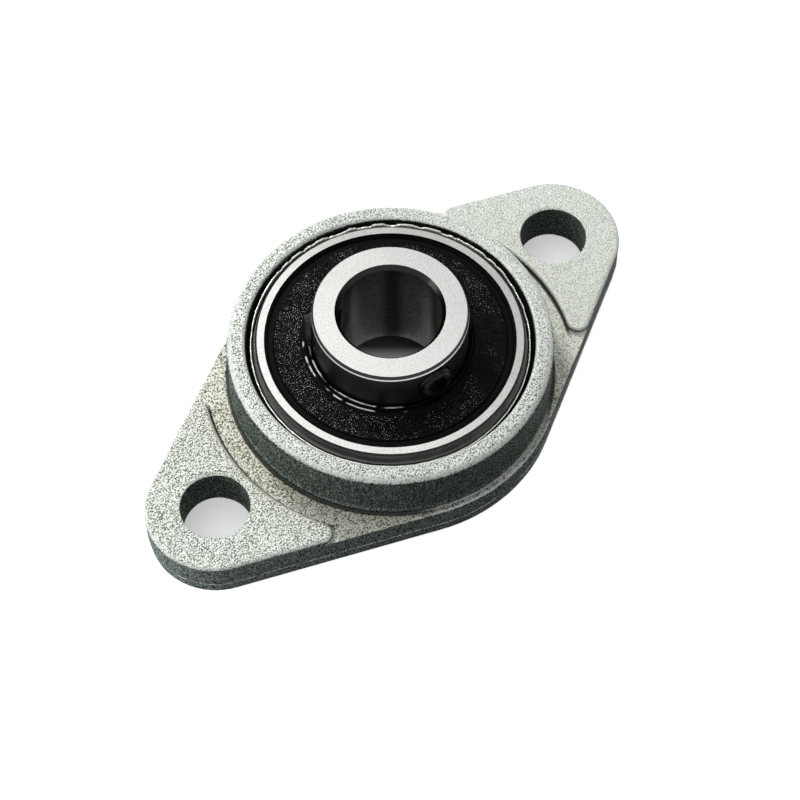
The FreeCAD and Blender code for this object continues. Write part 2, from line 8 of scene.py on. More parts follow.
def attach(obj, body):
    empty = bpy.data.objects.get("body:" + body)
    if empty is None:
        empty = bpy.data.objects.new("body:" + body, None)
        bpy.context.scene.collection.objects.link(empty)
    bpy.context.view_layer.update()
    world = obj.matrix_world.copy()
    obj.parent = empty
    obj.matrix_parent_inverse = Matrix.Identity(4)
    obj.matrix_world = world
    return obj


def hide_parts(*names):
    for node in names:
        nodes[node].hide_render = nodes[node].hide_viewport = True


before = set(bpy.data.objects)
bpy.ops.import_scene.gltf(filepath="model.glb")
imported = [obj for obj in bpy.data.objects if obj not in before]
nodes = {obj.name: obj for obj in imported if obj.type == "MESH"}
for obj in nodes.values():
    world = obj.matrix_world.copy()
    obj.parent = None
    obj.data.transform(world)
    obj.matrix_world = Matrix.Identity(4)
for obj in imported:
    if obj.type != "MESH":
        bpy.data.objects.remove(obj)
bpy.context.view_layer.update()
mm = 0.001
print("frame loaded", len(nodes), "nodes")


# short ways to write node trees
def newGroup(name, inputs, outputs, kind="ShaderNodeTree"):
    tree = bpy.data.node_groups.new(name, kind)
    for socketName, socketKind, value in inputs:
        socket = tree.interface.new_socket(socketName, in_out="INPUT", socket_type="NodeSocket" + socketKind)
        if value is not None:
            socket.default_value = value
    for socketName, socketKind in outputs:
        tree.interface.new_socket(socketName, in_out="OUTPUT", socket_type="NodeSocket" + socketKind)
    return tree, tree.nodes.new("NodeGroupInput"), tree.nodes.new("NodeGroupOutput")


def addNode(tree, kind, settings=None, **links):
    node = tree.nodes.new(kind)
    for key, value in (settings or {}).items():
        setattr(node, key, value)
    for key, value in links.items():
        wire(tree, node, key, value)
    return node


def wire(tree, node, key, value):
    name = key.replace("_", " ")
    byNumber = name[0] == "i" and name[1:].isdigit()
    socket = node.inputs[int(name[1:])] if byNumber else node.inputs[name]
    if isinstance(value, bpy.types.NodeSocket):
        tree.links.new(value, socket)
    else:
        socket.default_value = value


def addMath(tree, operation, a, b=0.0, clamp=False):
    return addNode(tree, "ShaderNodeMath", dict(operation=operation, use_clamp=clamp), i0=a, i1=b).outputs[0]


def addProduct(tree, first, *others):
    for other in others:
        first = addMath(tree, "MULTIPLY", first, other)
    return first


def addVector(tree, operation, first, second=None, output="Vector"):
    node = addNode(tree, "ShaderNodeVectorMath", dict(operation=operation), i0=first)
    if second is not None:
        wire(tree, node, "Scale" if operation == "SCALE" else "i1", second)
    return node.outputs[output]


def addPoint(tree, **parts):
    return addNode(tree, "ShaderNodeCombineXYZ", **parts).outputs[0]


def addAxis(tree, vector, axis):
    return addNode(tree, "ShaderNodeSeparateXYZ", Vector=vector).outputs[axis]


def addNoise(tree, vector, scale, **links):
    return addNode(tree, "ShaderNodeTexNoise", Vector=vector, Scale=scale, **links).outputs[0]


def addRange(tree, value, low, high, toLow=0.0, toHigh=1.0):
    node = addNode(tree, "ShaderNodeMapRange", dict(interpolation_type="SMOOTHSTEP"), Value=value)
    for key, number in (("From Min", low), ("From Max", high), ("To Min", toLow), ("To Max", toHigh)):
        wire(tree, node, key, number)
    return node.outputs["Result"]


def addMix(tree, factor, first, second):
    return addNode(tree, "ShaderNodeMix", dict(data_type="RGBA"), i0=factor, i6=first, i7=second).outputs[2]


def addBlend(tree, factor, first, second):
    return addNode(tree, "ShaderNodeMix", i0=factor, i2=first, i3=second).outputs[0]


def addLevelness(tree):
    facing = addNode(tree, "ShaderNodeTexCoord").outputs["Normal"]
    return addMath(tree, "ABSOLUTE", addAxis(tree, facing, "Z"))  # 1 on level faces, 0 on upright ones


def addBump(tree, height, distance):
    return addNode(tree, "ShaderNodeBump", Height=height, Distance=distance, Strength=1.0).outputs["Normal"]


def useGroup(tree, group, **inputs):
    node = tree.nodes.new("ShaderNodeGroup")
    node.node_tree = group
    for key, value in inputs.items():
        wire(tree, node, key, value)
    return node.outputs


def newMaterial(name, **constants):
    material = bpy.data.materials.new(name)
    material.use_nodes = True
    tree = material.node_tree
    shader = tree.nodes["Principled BSDF"]
    for key, value in constants.items():
        shader.inputs[key.replace("_", " ")].default_value = value
    coords = addNode(tree, "ShaderNodeTexCoord").outputs["Object"]
    return material, tree, shader, addVector(tree, "SCALE", coords, 1 / mm)


# shared effects, all in millimetres of object space
def makeGrainGroup():
    tree, source, target = newGroup(
        "surfaceGrain",
        [("Place", "Vector", None), ("Grain Size", "Float", 0.15), ("Unevenness", "Float", 0.12)],
        [("Height", "Float"), ("Tone", "Float")])
    place = source.outputs["Place"]
    scale = addMath(tree, "DIVIDE", 1.0, source.outputs["Grain Size"])
    fine = addNoise(tree, place, scale, Detail=1.0, Roughness=0.5)
    broad = addNoise(tree, place, addMath(tree, "MULTIPLY", scale, 0.22), Detail=2.0)
    uneven = addProduct(tree, addMath(tree, "SUBTRACT", broad, 0.5), source.outputs["Unevenness"])
    height = addMath(tree, "ADD", fine, uneven)
    tree.links.new(height, target.inputs["Height"])
    tree.links.new(addRange(tree, height, 0.33, 0.6), target.inputs["Tone"])
    return tree


def makeRadiusGroup():
    tree, source, target = newGroup(
        "shaftRadius", [("Place", "Vector", None)],
        [("Radius", "Float"), ("Height", "Float"), ("Turn", "Vector")])
    parts = addNode(tree, "ShaderNodeSeparateXYZ", Vector=source.outputs["Place"]).outputs
    flat = addPoint(tree, X=parts["X"], Y=parts["Y"])
    tree.links.new(addVector(tree, "LENGTH", flat, output="Value"), target.inputs["Radius"])
    tree.links.new(parts["Z"], target.inputs["Height"])
    tree.links.new(addVector(tree, "NORMALIZE", flat), target.inputs["Turn"])
    return tree


def makeTurnedGroup(radiusGroup):
    tree, source, target = newGroup(
        "turnedLines", [("Place", "Vector", None), ("Pitch", "Float", 0.08)],
        [("Lines", "Float"), ("Scratches", "Float")])
    place = source.outputs["Place"]
    polar = useGroup(tree, radiusGroup, Place=place)
    outward = addMath(tree, "ADD", polar["Radius"], polar["Height"])
    across = addMath(tree, "DIVIDE", outward, source.outputs["Pitch"])
    turn = addNode(tree, "ShaderNodeSeparateXYZ", Vector=polar["Turn"]).outputs
    lines = addNoise(tree, addPoint(tree, X=across, Y=turn["X"], Z=turn["Y"]), 1.0, Detail=2.0)
    stretched = addNode(tree, "ShaderNodeMapping", Vector=place,
                        Rotation=(0.2, 0.1, 0.7), Scale=(0.7, 9.0, 3.0)).outputs[0]
    marks = addNoise(tree, stretched, 1.0, Detail=1.0)
    tree.links.new(lines, target.inputs["Lines"])
    tree.links.new(addRange(tree, marks, 0.62, 0.72), target.inputs["Scratches"])
    return tree


def makeHandlingGroup():
    tree, source, target = newGroup(
        "handling", [("Place", "Vector", None), ("Size", "Float", 4.0)], [("Smudge", "Float")])
    scale = addMath(tree, "DIVIDE", 1.0, source.outputs["Size"])
    cloud = addNoise(tree, source.outputs["Place"], scale, Detail=4.0, Distortion=0.4)
    tree.links.new(addRange(tree, cloud, 0.35, 0.68), target.inputs["Smudge"])
    return tree


grainGroup = makeGrainGroup()
radiusGroup = makeRadiusGroup()
turnedGroup = makeTurnedGroup(radiusGroup)
handlingGroup = makeHandlingGroup()
print("shared effects ready")

zincLook = dict(
    pale=(0.8, 0.855, 0.79, 1), pit=(0.14, 0.15, 0.125, 1),
    warmPale=(0.8, 0.8, 0.67, 1), warmPit=(0.13, 0.12, 0.085, 1),
    wall=(0.17, 0.215, 0.185, 1), wallPit=(0.012, 0.0155, 0.0132, 1), lowWall=(0.42, 0.51, 0.483, 1),
    wallGlint=(0.5, 0.55, 0.5, 1), paintedSheen=(0.93, 0.96, 0.92, 1), recessShade=(0.008, 0.0085, 0.008, 1),
    grain=0.125, depth=0.05, smudge=5.0, metallic=0.2, specular=0.04, roughness=(0.6, 0.35),
    wallRoughness=0.2, wallContrast=2.0, tumbled=(0.2, 0.42), wallGlintGrain=(0.62, 0.69), wallGlintShare=0.9,
    edgeFrom=(0.4, 0.6), edgeTo=(0.97, 0.88), edgeSheenShare=0.45,
    dirtAlong=(0.3, 0.75), dirtShare=0.8, handledShare=(0.05, 0.3),
    polishAcross=(4.0, 16.0), polishMost=0.5, polishTone=0.9, paintedLightGain=1.04,
    hubFoot=13.2, hubRise=4.2, warmReach=17.0, floorHeight=3.0, footHeight=3.42,
    hubAlong=(0.35, 0.6), hubLeast=0.35, stepFoot=14.86, stepBand=(0.22, 0.06), stepAlong=(0.855, 0.88),
    cornerShare=0.92, mouth=11.42, mouthTop=7.75, mouthDepth=6.5, mouthRagged=0.3, mouthWaver=0.07,
    holePlace=18.5, holeRadius=2.85)


def addZincTop(tree, look, parts):
    height, along, polish = parts["height"], parts["along"], parts["polish"]
    onFlange = look["hubRise"] + 0.3, look["hubRise"]
    low = addProduct(tree, addRange(tree, along, *look["dirtAlong"]), addRange(tree, height, *onFlange))
    nearHub = addProduct(tree, addRange(tree, parts["radius"], look["warmReach"], look["hubFoot"]), low)
    dirt = addProduct(tree, nearHub, addMath(tree, "SUBTRACT", look["dirtShare"], polish))
    handled = addProduct(tree, parts["smudge"], addRange(tree, height, *onFlange, *look["handledShare"]))
    warmth = addMath(tree, "ADD", dirt, handled, True)
    dark = addMix(tree, warmth, look["pit"], look["warmPit"])
    top = addMix(tree, parts["tone"], dark, addMix(tree, warmth, look["pale"], look["warmPale"]))
    # painted light: the pale colours grow a little brighter towards the smoother lug
    lightGain = addRange(tree, polish, 0.0, look["polishMost"], 1.0, look["paintedLightGain"])
    # painted highlight on the slanted faces of rounded edges
    notUpright = addRange(tree, parts["level"], *look["edgeFrom"])
    notLevel = addRange(tree, parts["level"], *look["edgeTo"])
    edge = addProduct(tree, notUpright, notLevel, look["edgeSheenShare"])
    return addMix(tree, edge, addVector(tree, "SCALE", top, lightGain), look["paintedSheen"])  # painted highlight: rounded edges are painted bright


def addZincSide(tree, look, parts):
    flat = addVector(tree, "MULTIPLY", parts["place"], (1, 1, 0))
    folded = addVector(tree, "ABSOLUTE", flat)
    fromHole = addVector(tree, "DISTANCE", folded, (look["holePlace"], 0, 0), "Value")
    onFlange = addRange(tree, parts["height"], look["hubRise"], look["hubRise"] - 0.6)
    outsideHole = addRange(tree, fromHole, look["holeRadius"], look["holeRadius"] + 0.2)
    # painted shade: upright walls are dark, the hub's and the bolt holes' walls darkest, the flange's lower
    # walls lighter
    pale = addMix(tree, addProduct(tree, onFlange, outsideHole), look["wall"], look["lowWall"])
    side = addMix(tree, addMath(tree, "POWER", parts["tone"], look["wallContrast"]), look["wallPit"], pale)
    # painted glints: some grains on the walls get a pale colour
    wallGlints = addRange(tree, parts["grain"], *look["wallGlintGrain"], 0.0, look["wallGlintShare"])
    return addMix(tree, wallGlints, side, look["wallGlint"])


# painted shade: near black in the mouth's groove, along the hub's foot and along the pads' step foot
def addZincRecessShade(tree, look, parts):
    radius, height, along = parts["radius"], parts["height"], parts["along"]
    ragged = addMath(tree, "ADD", height, addMath(tree, "MULTIPLY", parts["smudge"], look["mouthRagged"]))
    below = addProduct(tree, addRange(tree, height, look["mouthDepth"] - 0.3, look["mouthDepth"]),
                       addRange(tree, ragged, look["mouthTop"] + 0.15, look["mouthTop"]))
    waver = addRange(tree, parts["grain"], 0.3, 0.7, -look["mouthWaver"], look["mouthWaver"])
    mouthEdge = addMath(tree, "ADD", radius, waver)
    inMouth = addProduct(tree, addRange(tree, mouthEdge, look["mouth"] + 0.09, look["mouth"] + 0.03), below)
    fromStep = addMath(tree, "ABSOLUTE", addMath(tree, "SUBTRACT", radius, look["stepFoot"]))
    atStep = addProduct(tree, addRange(tree, fromStep, *look["stepBand"]),
                        addRange(tree, along, *look["stepAlong"]))
    atHub = addProduct(tree, addRange(tree, radius, look["hubFoot"] + 0.12, look["hubFoot"] - 0.06),
                       addRange(tree, along, *look["hubAlong"], look["hubLeast"], 1.0))
    onFloor = addProduct(tree, addRange(tree, height, look["footHeight"] + 0.1, look["footHeight"]),
                         addRange(tree, height, look["floorHeight"] - 0.1, look["floorHeight"]))
    inCorner = addProduct(tree, addMath(tree, "MAXIMUM", atStep, atHub), onFloor, look["cornerShare"])
    return addMath(tree, "MAXIMUM", inMouth, inCorner)


def makeZinc(look):
    material, tree, shader, place = newMaterial("zincCasting", Specular_IOR_Level=look["specular"])
    grain = useGroup(tree, grainGroup, Place=place, Grain_Size=look["grain"])
    polar = useGroup(tree, radiusGroup, Place=place)
    parts = dict(place=place, grain=grain["Height"], radius=polar["Radius"], height=polar["Height"])
    parts["smudge"] = useGroup(tree, handlingGroup, Place=place, Size=look["smudge"])["Smudge"]
    parts["along"] = addMath(tree, "ABSOLUTE", addAxis(tree, polar["Turn"], "X"))
    parts["level"] = addLevelness(tree)
    # one lug is tumbled smoother and cleaner than the other
    across = addAxis(tree, place, "X")
    parts["polish"] = addRange(tree, across, *look["polishAcross"], 0.0, look["polishMost"])
    parts["tone"] = addBlend(tree, parts["polish"], grain["Tone"], look["polishTone"])
    # faces that look up or down get the pale top colours, and upright walls get dark colours as painted shade
    tumbled = addRange(tree, parts["level"], *look["tumbled"])
    clean = addMix(tree, tumbled, addZincSide(tree, look, parts), addZincTop(tree, look, parts))
    wire(tree, shader, "Base Color", addMix(tree, addZincRecessShade(tree, look, parts), clean, look["recessShade"]))
    wire(tree, shader, "Metallic", addRange(tree, tumbled, 0.0, 1.0, 0.0, look["metallic"]))
    rough = addRange(tree, parts["tone"], 0.0, 1.0, *look["roughness"])
    wallRough = addRange(tree, tumbled, 0.0, 1.0, look["wallRoughness"], 0.0)
    wire(tree, shader, "Roughness", addMath(tree, "ADD", rough, wallRough))
    wire(tree, shader, "Normal", addBump(tree, grain["Height"], look["depth"] * mm))
    return material


ringLook = dict(
    steel=(0.55, 0.555, 0.54, 1), worn=(0.4, 0.4, 0.385, 1), chamferShade=(0.025, 0.026, 0.025, 1),
    bore=(0.16, 0.165, 0.15, 1), boreSheen=(0.74, 0.76, 0.69, 1), side=(0.07, 0.077, 0.07, 1),
    sheenBands=((0.251, 0.968, 0), (0.973, 0.233, 0)), sheenBandEdge=0.88, sheenBandLeast=0.5,
    roughness=(0.22, 0.28), scratchRoughness=0.04, sideRoughness=0.15, ballRoughness=0.2,
    pitch=0.05, depth=0.0015, scratchDepth=0.4, mottle=0.12, smudge=3.0,
    chamferFrom=(0.3, 0.35), chamferTo=(0.96, 0.9), sideSteep=(0.3, 0.2), ballSteep=(0.6, 0.5),
    turnedLevel=(0.6, 0.9), coneLevel=(0.9, 0.95),
    boreRadius=4.0, collar=6.1, outerFace=9.7, outerWear=0.35, slope=0.03, ballRadius=10.5,
    middle=5.1, raceHalf=2.6)


def addBoreSheenBands(tree, look, turn, mottle):
    sheenBand = 0.0
    for run in look["sheenBands"]:
        toward = addVector(tree, "DOT_PRODUCT", turn, run, "Value")
        sheenBand = addMath(tree, "MAXIMUM", sheenBand, addRange(tree, toward, look["sheenBandEdge"], 1.0))
    return addProduct(tree, sheenBand, addRange(tree, mottle, 0.0, 1.0, look["sheenBandLeast"], 1.0))


def makeRingSteel(look):
    material, tree, shader, place = newMaterial("ringSteel", Metallic=1.0)
    turned = useGroup(tree, turnedGroup, Place=place, Pitch=look["pitch"])
    mottle = useGroup(tree, grainGroup, Place=place, Grain_Size=look["mottle"])["Tone"]
    smudge = useGroup(tree, handlingGroup, Place=place, Size=look["smudge"])["Smudge"]
    polar = useGroup(tree, radiusGroup, Place=place)
    radius = polar["Radius"]
    level = addLevelness(tree)
    # chamfers are painted dark as painted shade, and a thin band at the collar's rim is left out of it as a
    # painted highlight
    away = addMath(tree, "ABSOLUTE", addMath(tree, "SUBTRACT", polar["Height"], look["middle"]))
    pastRace = addRange(tree, away, look["raceHalf"], look["raceHalf"] + 0.1)
    insideCollar = addRange(tree, radius, look["collar"] + 0.2, look["collar"] + 0.1)
    pastRim = addRange(tree, radius, look["collar"] - 0.06, look["collar"] - 0.03)
    rimHighlight = addProduct(tree, pastRim, insideCollar)
    slanted = addProduct(tree, addRange(tree, level, *look["chamferFrom"]),
                         addRange(tree, level, *look["chamferTo"]))
    chamferShadeMask = addProduct(tree, slanted, pastRace, addMath(tree, "SUBTRACT", 1.0, rimHighlight))
    # end faces; the bore, painted dark with brighter bands of painted reflection; and the collar's side,
    # painted dark as painted shade
    streak = addMath(tree, "MULTIPLY", addMath(tree, "ADD", turned["Lines"], mottle), 0.5)
    wear = addRange(tree, radius, look["outerFace"] - 0.1, look["outerFace"], 0.0, look["outerWear"])
    ground = addMix(tree, addMath(tree, "SUBTRACT", streak, wear), look["worn"], look["steel"])
    bore = addMix(tree, addBoreSheenBands(tree, look, polar["Turn"], mottle), look["bore"], look["boreSheen"])
    inBore = addRange(tree, radius, look["boreRadius"] + 0.06, look["boreRadius"] + 0.03)
    nearCollar = addRange(tree, radius, look["collar"] - 0.15, look["collar"] - 0.1)
    # painted shade: the collar's side gets a dark colour
    onSide = addProduct(tree, nearCollar, insideCollar, addRange(tree, level, *look["sideSteep"]))
    shown = addMix(tree, onSide, addMix(tree, inBore, ground, bore), look["side"])
    wire(tree, shader, "Base Color", addMix(tree, chamferShadeMask, shown, look["chamferShade"]))
    # the spherical side is left matt
    onBall = addProduct(tree, addRange(tree, radius, look["ballRadius"] - 0.1, look["ballRadius"]),
                        addRange(tree, level, *look["ballSteep"]))
    rough = addRange(tree, smudge, 0.0, 1.0, *look["roughness"])
    rougher = [(turned["Scratches"], look["scratchRoughness"]), (onSide, look["sideRoughness"]),
               (onBall, look["ballRoughness"])]
    for share, most in rougher:
        rough = addMath(tree, "ADD", rough, addMath(tree, "MULTIPLY", share, most))
    wire(tree, shader, "Roughness", rough)
    # only the end faces are turned, and the outer ring's fall outwards a little
    scratches = addMath(tree, "MULTIPLY", turned["Scratches"], look["scratchDepth"])
    marks = addMath(tree, "SUBTRACT", turned["Lines"], scratches)
    marks = addProduct(tree, marks, addRange(tree, level, *look["turnedLevel"]))
    past = addMath(tree, "MAXIMUM", addMath(tree, "SUBTRACT", radius, look["outerFace"]), 0.0)
    cone = addProduct(tree, past, -look["slope"] / look["depth"], addRange(tree, level, *look["coneLevel"]))
    wire(tree, shader, "Normal", addBump(tree, addMath(tree, "ADD", marks, cone), look["depth"] * mm))
    return material


rubberLook = dict(
    black=(0.001, 0.0011, 0.0011, 1), grey=(0.004, 0.0043, 0.0042, 1), grain=0.15, depth=0.06,
    roughness=(0.5, 0.22), specular=0.04, grainedFrom=7.0, grainedTo=9.2, blur=0.15, smoothShare=0.12)


def makeRubber(look):
    material, tree, shader, place = newMaterial(
        "sealRubber", Metallic=0.0, Specular_IOR_Level=look["specular"])
    grain = useGroup(tree, grainGroup, Place=place, Grain_Size=look["grain"])
    wire(tree, shader, "Base Color", addMix(tree, grain["Tone"], look["black"], look["grey"]))
    wire(tree, shader, "Roughness", addRange(tree, grain["Tone"], 0.0, 1.0, *look["roughness"]))
    radius = useGroup(tree, radiusGroup, Place=place)["Radius"]
    start, end, blur = look["grainedFrom"], look["grainedTo"], look["blur"]
    band = addProduct(tree, addRange(tree, radius, start - blur, start + blur),
                      addRange(tree, radius, end + blur, end - blur))
    height = addProduct(tree, grain["Height"], addRange(tree, band, 0.0, 1.0, look["smoothShare"], 1.0))
    wire(tree, shader, "Normal", addBump(tree, height, look["depth"] * mm))
    return material


glintLook = dict(
    dull=(0.002, 0.002, 0.0022, 1), bright=(0.85, 0.88, 0.85, 1), size=0.12, patch=2.2, low=0.22, high=0.85,
    sharpness=1.8, roughness=0.3, specular=0.04, patchShare=(0.55, 1.15), crown=(0.6, 1.0),
    glintSide=(-0.89, 0.45, 0), sideFrom=-0.4, sideTo=0.9, sideLow=0.6, sideHigh=1.25)
# painted highlights on the seal's lip lines, mostly on one side
lipGlintLook = dict(
    glintLook, size=0.8, patch=1.4, low=0.04, high=0.75,
    glintSide=(-0.992, -0.12, 0), sideFrom=0.5, sideLow=0.05)


def makePaintedGlintRubber(name, look):
    material, tree, shader, place = newMaterial(
        name, Metallic=0.0, Roughness=look["roughness"], Specular_IOR_Level=look["specular"])
    fleck = useGroup(tree, grainGroup, Place=place, Grain_Size=look["size"])["Tone"]
    patch = useGroup(tree, handlingGroup, Place=place, Size=look["patch"])["Smudge"]
    turn = useGroup(tree, radiusGroup, Place=place)["Turn"]
    # painted glints: level crowns get a pale colour, in patches and mostly on one side
    side = addVector(tree, "DOT_PRODUCT", turn, look["glintSide"], "Value")
    paintedSheen = addProduct(
        tree, addRange(tree, patch, 0.0, 1.0, *look["patchShare"]),
        addRange(tree, side, look["sideFrom"], look["sideTo"], look["sideLow"], look["sideHigh"]))
    share = addRange(tree, addProduct(tree, fleck, paintedSheen), look["low"], look["high"])
    crown = addRange(tree, addLevelness(tree), *look["crown"])
    paintedGlint = addMath(tree, "POWER", addProduct(tree, share, crown), look["sharpness"])  # crowns shine
    wire(tree, shader, "Base Color", addMix(tree, paintedGlint, look["dull"], look["bright"]))
    return material


screwLook = dict(
    black=(0.006, 0.0063, 0.007, 1), worn=(0.03, 0.03, 0.03, 1), roughness=0.38, matt=0.15,
    metallic=0.6, specular=0.15, smudge=0.8)


def addSmudgedRoughness(tree, shader, smudge, look):
    clean = look["roughness"]
    wire(tree, shader, "Roughness", addRange(tree, smudge, 0.0, 1.0, clean, clean + look["matt"]))


def makeBlackSteel(look):
    material, tree, shader, place = newMaterial(
        "blackOxideSteel", Metallic=look["metallic"], Specular_IOR_Level=look["specular"])
    smudge = useGroup(tree, handlingGroup, Place=place, Size=look["smudge"])["Smudge"]
    wire(tree, shader, "Base Color", addMix(tree, smudge, look["black"], look["worn"]))
    addSmudgedRoughness(tree, shader, smudge, look)
    return material


ballLook = dict(steel=(0.62, 0.62, 0.61, 1), roughness=0.06, matt=0.08, smudge=1.5)
cageLook = dict(ballLook, steel=(0.5, 0.49, 0.46, 1), roughness=0.3)
shearedLook = dict(ballLook, steel=(0.72, 0.73, 0.7, 1), roughness=0.24)


def makePlainSteel(name, look):
    material, tree, shader, place = newMaterial(name, Metallic=1.0, Base_Color=look["steel"])
    smudge = useGroup(tree, handlingGroup, Place=place, Size=look["smudge"])["Smudge"]
    addSmudgedRoughness(tree, shader, smudge, look)
    return material


looks = dict(
    housing=makeZinc(zincLook), ring=makeRingSteel(ringLook), seal=makeRubber(rubberLook),
    screw=makeBlackSteel(screwLook), ball=makePlainSteel("ballSteel", ballLook),
    cage=makePlainSteel("cageSteel", cageLook))
shearedZinc = makePlainSteel("shearedZinc", shearedLook)
paintedGlintRubber = makePaintedGlintRubber("paintedGlintRubber", glintLook)
lipGlintRubber = makePaintedGlintRubber("lipGlintRubber", lipGlintLook)
for name, node in nodes.items():
    key = next((k for k in ("ring", "seal", "screw", "ball", "cage") if k in name), "housing")
    node.data.materials.clear()
    node.data.materials.append(looks[key])
print("materials on", len(nodes), "nodes")


# geometry that casting, moulding and threading leave behind
def newShape(name, first, numbers, result):
    inputs = [(first, "Geometry", None)]
    for key, value in numbers.items():
        inputs.append((key, "Vector" if isinstance(value, tuple) else "Float", value))
    inputs.append(("Material", "Material", None))
    return newGroup(name, inputs, [(result, "Geometry")], "GeometryNodeTree")


def finishShape(tree, geometry, source, target, smooth=True):
    solid = addNode(tree, "GeometryNodeRealizeInstances", Geometry=geometry).outputs[0]
    if smooth:
        solid = addNode(tree, "GeometryNodeSetShadeSmooth", Geometry=solid).outputs[0]
    made = addNode(tree, "GeometryNodeSetMaterial", Geometry=solid, Material=source.outputs["Material"])
    tree.links.new(made.outputs[0], target.inputs[0])
    return tree


def addSteppedCurve(tree, given):
    curve = addNode(tree, "GeometryNodeMeshToCurve", Mesh=given["Path"]).outputs[0]
    settings = dict(mode="LENGTH")
    return addNode(tree, "GeometryNodeResampleCurve", settings, Curve=curve, Length=given["Step"]).outputs[0]


def addUprightNormals(tree, curve):
    return addNode(tree, "GeometryNodeSetCurveNormal", dict(mode="Z_UP"), Curve=curve).outputs[0]


def addCircle(tree, radius, count):
    return addNode(tree, "GeometryNodeCurvePrimitiveCircle", Resolution=count, Radius=radius).outputs[0]


def addTube(tree, curve, profile, **links):
    tube = addNode(tree, "GeometryNodeCurveToMesh", Curve=curve, Profile_Curve=profile, **links)
    return tube.outputs[0]


def addRandom(tree, low, high, seed):
    settings = dict(data_type="FLOAT")
    return addNode(tree, "FunctionNodeRandomValue", settings, i2=low, i3=high, Seed=seed).outputs[1]


def addSeededNoise(tree, place, given, detail):
    return addNode(tree, "ShaderNodeTexNoise", dict(noise_dimensions="4D"), Vector=place, W=given["Seed"],
                   Scale=addMath(tree, "DIVIDE", 1.0, given["Wave"]), Detail=detail).outputs


def makeBeadGroup():
    numbers = dict(Step=0.08 * mm, Thick=0.05 * mm, Wander=0.02 * mm, Wave=0.6 * mm, Broken=0.0, Seed=1.0)
    tree, source, target = newShape("wavyBead", "Path", numbers, "Bead")
    given = source.outputs
    curve = addSteppedCurve(tree, given)
    cloud = addSeededNoise(tree, addNode(tree, "GeometryNodeInputPosition").outputs[0], given, 2.0)
    swing = addVector(tree, "SUBTRACT", cloud["Color"], (0.5, 0.5, 0.5))
    swing = addVector(tree, "SCALE", swing, given["Wander"])
    curve = addNode(tree, "GeometryNodeSetPosition", Geometry=curve, Offset=swing).outputs[0]
    size = addRange(tree, cloud[0], given["Broken"], addMath(tree, "ADD", given["Broken"], 0.2), 0.12, 1.0)
    profile = addCircle(tree, given["Thick"], 8)
    bead = addTube(tree, addUprightNormals(tree, curve), profile, Scale=size, Fill_Caps=True)
    return finishShape(tree, bead, source, target)


def makeScatterGroup():
    tree, source, target = newGroup(
        "scatteredGrain",
        [("Area", "Geometry", None), ("Spacing", "Float", 0.3 * mm), ("Smallest", "Float", 0.05 * mm),
         ("Largest", "Float", 0.1 * mm), ("Flatness", "Float", 0.7), ("Seed", "Int", 1),
         ("Material", "Material", None)],
        [("Grains", "Geometry")], "GeometryNodeTree")
    given = source.outputs
    crowd = addMath(tree, "DIVIDE", 4.0, addProduct(tree, given["Spacing"], given["Spacing"]))
    points = addNode(tree, "GeometryNodeDistributePointsOnFaces", dict(distribute_method="POISSON"),
                     Mesh=given["Area"], Distance_Min=given["Spacing"], Density_Max=crowd,
                     Seed=given["Seed"]).outputs[0]
    size = addRandom(tree, given["Smallest"], given["Largest"], given["Seed"])
    stretch = addRandom(tree, 0.35, 1.0, addMath(tree, "ADD", given["Seed"], 5.0))
    turn = addRandom(tree, 0.0, math.tau, addMath(tree, "ADD", given["Seed"], 9.0))
    flat = addProduct(tree, size, given["Flatness"])
    shape = addPoint(tree, X=size, Y=addProduct(tree, size, stretch), Z=flat)
    pip = addNode(tree, "GeometryNodeMeshIcoSphere", Radius=1.0, Subdivisions=1).outputs[0]
    grains = addNode(tree, "GeometryNodeInstanceOnPoints", Points=points, Instance=pip, Scale=shape,
                     Rotation=addPoint(tree, Z=turn))
    return finishShape(tree, grains.outputs[0], source, target)


def makeLipGroup():
    numbers = {"Step": 0.06 * mm, "Thick": 0.05 * mm, "Base": 7.0 * mm, "Near Rise": 0.1, "Far Rise": 0.7,
               "Reach": 10.9 * mm, "Wave": 0.5 * mm, "Seed": 1.0, "Away": (0, 1, 0)}
    tree, source, target = newShape("raggedLip", "Path", numbers, "Lip")
    given = source.outputs
    curve = addUprightNormals(tree, addSteppedCurve(tree, given))
    half = 0.5 * mm  # of a profile 1 mm tall, so that its height can be scaled by the rise
    thinned = addPoint(tree, X=addMath(tree, "DIVIDE", given["Thick"], half), Y=1.0, Z=1.0)
    profile = addNode(tree, "GeometryNodeTransform", Geometry=addCircle(tree, half, 10),
                      Translation=(0, half, 0), Scale=thinned).outputs[0]
    wall = addTube(tree, curve, profile)
    place = addNode(tree, "GeometryNodeInputPosition").outputs[0]
    parts = addNode(tree, "ShaderNodeSeparateXYZ", Vector=place).outputs
    flat = addPoint(tree, X=parts["X"], Y=parts["Y"])
    distance = addVector(tree, "DOT_PRODUCT", flat, given["Away"], "Value")
    toward = addMath(tree, "DIVIDE", distance, given["Reach"])
    rise = addRange(tree, toward, -1.0, 1.0, given["Near Rise"], given["Far Rise"])
    ragged = addRange(tree, addSeededNoise(tree, flat, given, 3.0)[0], 0.35, 0.6, 0.7, 1.05)
    above = addMath(tree, "ABSOLUTE", addMath(tree, "SUBTRACT", parts["Z"], given["Base"]))
    height = addMath(tree, "ADD", given["Base"], addProduct(tree, above, addProduct(tree, rise, ragged)))
    wall = addNode(tree, "GeometryNodeSetPosition", Geometry=wall,
                   Position=addPoint(tree, X=parts["X"], Y=parts["Y"], Z=height)).outputs[0]
    return finishShape(tree, wall, source, target)


